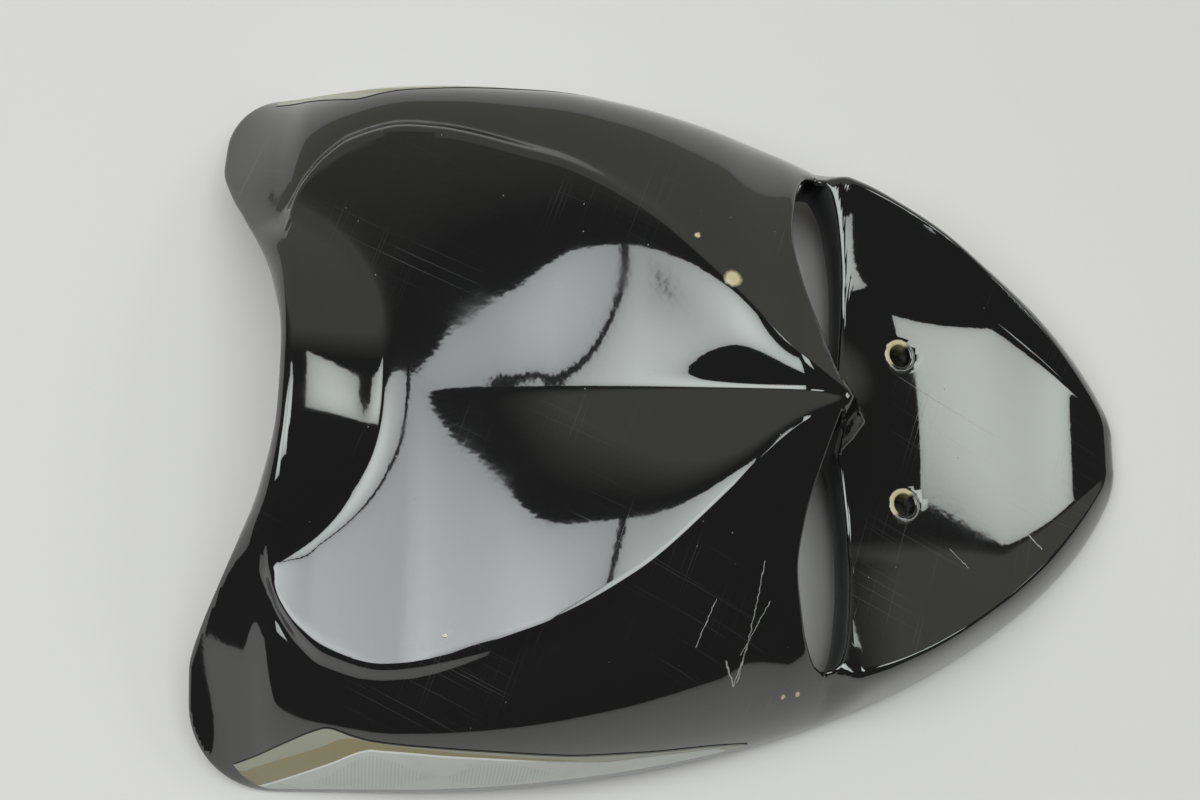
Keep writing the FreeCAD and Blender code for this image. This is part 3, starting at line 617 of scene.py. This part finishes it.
# The stripe decals: a vinyl film on each side wall, in bands that follow a curved upper edge. From the top
# they are a dark hairline, a cream border, gold, a white pinstripe and a silver body with hatched leaves.
# The stations are places along the fairing and across it.
FILM_REAR, FILM_FRONT = -186, 30
stripe_top = through((FILM_REAR, 148.3), (-175.6, 145.3), (-162, 140.6), (-151, 136.9), (-146, 135.9), (-135, 139),
                     (-128, 140.7), (-112, 142.4), (-84, 143.9), (-52, 144.8), (-19, 142.6), (16, 138),
                     (FILM_FRONT, 136.3))
gold_end = ((-35, 146.4), (-19, 144.4), (16, 139.2))
gold_top = through((-180.7, 150.9), (-171.8, 148.5), (-158.9, 145.5), (-146.8, 142.4), (-139.8, 140.2),
                   (-136.7, 139.9), (-127.8, 141.4), (-112.4, 143.1), (-97.2, 144.5), (-84.3, 145.2), (-60, 146.1),
                   *gold_end)
gold_low = through((-180, 157), (-173.6, 155.9), (-159.8, 152.6), (-143.3, 148.1), (-131.5, 144.4), (-127.8, 143.9),
                   (-124.2, 144.2), (-112.4, 144.9), (-97.1, 145.9), (-84.2, 146.3), (-60, 146.9), *gold_end)
film_foot = through((FILM_REAR, 148.5), (-182, 153), (-177, 156.2), (-170, 157.5), (-150, 157.5))
HAIRLINE, PINSTRIPE, FILM, BANDS = 0.45, 0.7, 0.2, 5
PINSTRIPE_FADE, FADE_RUN, SLOPE_STEP = -75, 17, 0.2

vinyl = bpy.data.materials.new("stripe_vinyl")
vinyl.use_nodes = True
tree = vinyl.node_tree
coordinates = add(tree, "TexCoord", {}).outputs
place, band = coordinates["Object"], add(tree, "SeparateXYZ", {0: coordinates["UV"]}).outputs["Y"]
bands = add(tree, "ValToRGB", {"Fac": band})
bands.color_ramp.interpolation = "CONSTANT"
shades = ((0.02, 0.02, 0.02, 1), (0.37, 0.365, 0.28, 1), (0.30, 0.255, 0.125, 1), (0.86, 0.87, 0.85, 1),
          (0.62, 0.645, 0.6, 1))
for k, shade in enumerate(shades):
    stop = bands.color_ramp.elements[k] if k < 2 else bands.color_ramp.elements.new(k / BANDS)
    stop.position, stop.color = k / BANDS, shade
along = calc(tree, "MULTIPLY", add(tree, "SeparateXYZ", {0: place}).outputs["X"], 1000.0)
HATCH_PITCH, HATCH_SLANT, LEAF_MIDDLE, LEAF_HALF = 1.5, 30.0, 0.89, 0.075
hatch = calc(tree, "ADD", calc(tree, "MULTIPLY", along, 2 * math.pi / HATCH_PITCH),
             calc(tree, "MULTIPLY", band, HATCH_SLANT))
hatch = calc(tree, "SINE", hatch)
leaves = 0.0
for start, end in ((-153, -104), (-98, -52)):
    share = add(tree, "MapRange", {"Value": along, "From Min": start, "From Max": end, "To Max": math.pi}).outputs[0]
    width = calc(tree, "MULTIPLY", calc(tree, "SINE", share), LEAF_HALF)
    leaf = calc(tree, "GREATER_THAN", width, calc(tree, "ABSOLUTE", calc(tree, "SUBTRACT", band, LEAF_MIDDLE)))
    leaves = calc(tree, "MAXIMUM", leaf, leaves)
inked = calc(tree, "MULTIPLY", leaves, between(tree, hatch, -0.3, 0.3))
lines = add(tree, "Group", {"Place": place, "Turn": 0.2}, node_tree=hairlines).outputs[0]
grains = add(tree, "Group", {"Place": place}, node_tree=dust).outputs[0]
colour = mixed(tree, calc(tree, "MULTIPLY", inked, 0.4), bands.outputs["Color"], (0.42, 0.44, 0.44, 1))
stain = calc(tree, "MULTIPLY", between(tree, noise(tree, place, 90.0, 4.0), 0.5, 0.75), 0.14)
colour = mixed(tree, stain, colour, (0.3, 0.29, 0.25, 1))
marks = calc(tree, "MULTIPLY", calc(tree, "MAXIMUM", lines, grains), 0.45)
colour = mixed(tree, marks, colour, (0.12, 0.12, 0.11, 1))
rough = calc(tree, "ADD", 0.28, calc(tree, "MULTIPLY", lines, 0.3))
bump = add(tree, "Bump", {"Height": calc(tree, "MULTIPLY", noise(tree, place, 300.0), 0.016), "Distance": MM})
shader = tree.nodes["Principled BSDF"]
tree.links.new(colour, shader.inputs["Base Color"])
tree.links.new(rough, shader.inputs["Roughness"])
tree.links.new(bump.outputs[0], shader.inputs["Normal"])


def film(sign):
    """A decal on one side: a grid of places along the wall by places across the bands, lifted off the skin
    by the film's thickness along the skin's normal, with the band's number as a share of five."""
    x = np.linspace(FILM_REAR, FILM_FRONT, 260)
    foot = np.minimum(film_foot(x), rim_half(x) - 1)
    top = np.minimum(stripe_top(x), foot)
    first = np.clip(gold_top(x), top + HAIRLINE, foot)
    second = np.clip(gold_low(x), first, foot)
    third = np.minimum(second + PINSTRIPE * (1 - ease((x - PINSTRIPE_FADE) / FADE_RUN)), foot)
    edges = np.stack([top, np.minimum(top + HAIRLINE, first), first, second, third, foot])
    share = np.concatenate([[0, 1], np.linspace(1, 2, 5)[1:], np.linspace(2, 3, 5)[1:], [4],
                            np.linspace(4, BANDS, 21)[1:]])
    low = np.minimum(share.astype(int), BANDS - 1)
    part = share - low
    part = np.where(low == BANDS - 1, np.sin(part * np.pi / 2), part)[:, None]
    y = edges[low] * (1 - part) + edges[low + 1] * part
    x = np.broadcast_to(x, y.shape)
    slope_x = (skin(x + SLOPE_STEP, y) - skin(x - SLOPE_STEP, y)) / (2 * SLOPE_STEP)
    slope_y = (skin(x, y + SLOPE_STEP) - skin(x, y - SLOPE_STEP)) / (2 * SLOPE_STEP)
    normal = np.stack([-slope_x, -slope_y, np.ones_like(y)], axis=2)
    normal /= np.linalg.norm(normal, axis=2, keepdims=True)
    points = np.stack([x, y, skin(x, y)], axis=2) + FILM * normal
    points[:, :, 1] *= sign
    index = np.arange(y.size).reshape(y.shape)
    faces = np.stack([index[:-1, :-1], index[:-1, 1:], index[1:, 1:], index[1:, :-1]], axis=2).reshape(-1, 4)
    if sign > 0:
        faces = faces[:, ::-1]
    along_film = (x - FILM_REAR) / (FILM_FRONT - FILM_REAR)
    bands_of = np.stack([along_film, np.broadcast_to(share[:, None] / BANDS, y.shape)], axis=2).reshape(-1, 2)
    # A cell takes the band of its upper edge, so that the bands meet at the grid's rows.
    cell = np.repeat((low[:-1] + 0.5) / BANDS, y.shape[1] - 1)
    return points.reshape(-1, 3), faces, bands_of, cell


for name, sign in (("left_decal", 1), ("right_decal", -1)):
    points, faces, bands_of, cell = film(sign)
    decal = built(name, points, faces.tolist(), vinyl)
    across_film = bands_of[faces]
    body_start = 0.801
    body = np.clip(across_film[:, :, 1], body_start, 1)
    across_film[:, :, 1] = np.where(cell[:, None] < (BANDS - 1) / BANDS, cell[:, None], body)
    decal.data.uv_layers.new(name="bands").data.foreach_set("uv", across_film.ravel())

# The floor: a plain pale sheet that the fairing lies on.
floor_mesh = bpy.data.meshes.new("floor")
reach = 4.0
corners = [(-reach, -reach, 0), (reach, -reach, 0), (reach, reach, 0), (-reach, reach, 0)]
floor_mesh.from_pydata(corners, [], [(0, 1, 2, 3)])
floor = bpy.data.objects.new("floor", floor_mesh)
bpy.context.scene.collection.objects.link(floor)
floor_paint = bpy.data.materials.new("pale_floor")
floor_paint.use_nodes = True
floor_shader = floor_paint.node_tree.nodes["Principled BSDF"]
floor_shader.inputs["Base Color"].default_value = (0.745, 0.71, 0.705, 1)
floor_shader.inputs["Roughness"].default_value = 0.6
floor_mesh.materials.append(floor_paint)

# The light: three large soft boxes overhead, side by side along the fairing, and a dim surround that is
# brighter on the left.
BOX_HEIGHT, BOX_EDGE, BOX_BULGE = 5.0, 0.6, 2.6


def soft_box(name, low_x, high_x, low_y, high_y, strength, tint):
    """A rectangular light that looks straight down, between two places along each side.

    It is brightest in the middle: its strength follows the root of the product of a parabola each way.
    """
    lamp = bpy.data.lights.new(name, "AREA")
    lamp.shape = "RECTANGLE"
    lamp.size = high_x - low_x
    lamp.size_y = high_y - low_y
    lamp.energy = strength * math.pi * lamp.size * lamp.size_y
    lamp.color = tint
    lamp.use_nodes = True
    tree = lamp.node_tree
    spot = add(tree, "NewGeometry", {}).outputs["Parametric"]
    first, second, _ = add(tree, "SeparateXYZ", {0: spot}).outputs
    bulge = calc(tree, "SQRT", calc(tree, "MULTIPLY", *(
        calc(tree, "MULTIPLY", share, calc(tree, "SUBTRACT", 1.0, share)) for share in (first, second))))
    level = calc(tree, "ADD", BOX_EDGE, calc(tree, "MULTIPLY", bulge, BOX_BULGE))
    tree.links.new(level, tree.nodes["Emission"].inputs["Strength"])
    item = bpy.data.objects.new(name, lamp)
    item.location = ((low_x + high_x) / 2, (low_y + high_y) / 2, BOX_HEIGHT)
    bpy.context.scene.collection.objects.link(item)


def spread(degrees):
    """Distance from the middle, at the boxes' height, of a direction so many degrees off the upright."""
    return BOX_HEIGHT * math.tan(math.radians(degrees))


soft_box("rear_soft_box", spread(-50), spread(-13.4), spread(-22), spread(16), 3.8, (0.95, 1, 1))
soft_box("middle_soft_box", spread(-12.6), spread(25), spread(-14), spread(16), 3.9, (0.93, 1, 0.98))
soft_box("front_soft_box", spread(34), spread(48.5), spread(9), spread(23.5), 3.4, (0.93, 1, 0.96))
world = bpy.data.worlds.new("surround")
world.use_nodes = True
tree = world.node_tree
across = add(tree, "SeparateXYZ", {0: add(tree, "TexCoord", {}).outputs["Generated"]}).outputs["Y"]
grey = add(tree, "ValToRGB", {"Fac": across})
grey.color_ramp.elements[0].position = 0.33
grey.color_ramp.elements[0].color = (0.06, 0.06, 0.055, 1)
grey.color_ramp.elements[1].position = 0.46
grey.color_ramp.elements[1].color = (0.34, 0.345, 0.305, 1)
tree.links.new(grey.outputs["Color"], tree.nodes["Background"].inputs["Color"])
bpy.context.scene.world = world

# The camera: above the fairing's right side, at the photograph's angle.
view = bpy.data.cameras.new("camera")
view.sensor_width = 36
view.lens = 54
camera = bpy.data.objects.new("camera", view)
bpy.context.scene.collection.objects.link(camera)
camera_place = Vector((-99.8, -195.1, 793.7))
forward = Vector((0.0812, 0.26, -0.9626)).normalized()
right = Vector((0.9962, 0.012, 0.0872))
right = (right - right.dot(forward) * forward).normalized()
up = right.cross(forward)
turned = Matrix((right, up, -forward)).transposed().to_4x4()
camera.matrix_world = Matrix.Translation(camera_place * MM) @ turned
bpy.context.scene.camera = camera
bpy.context.scene.view_settings.view_transform = "Standard"
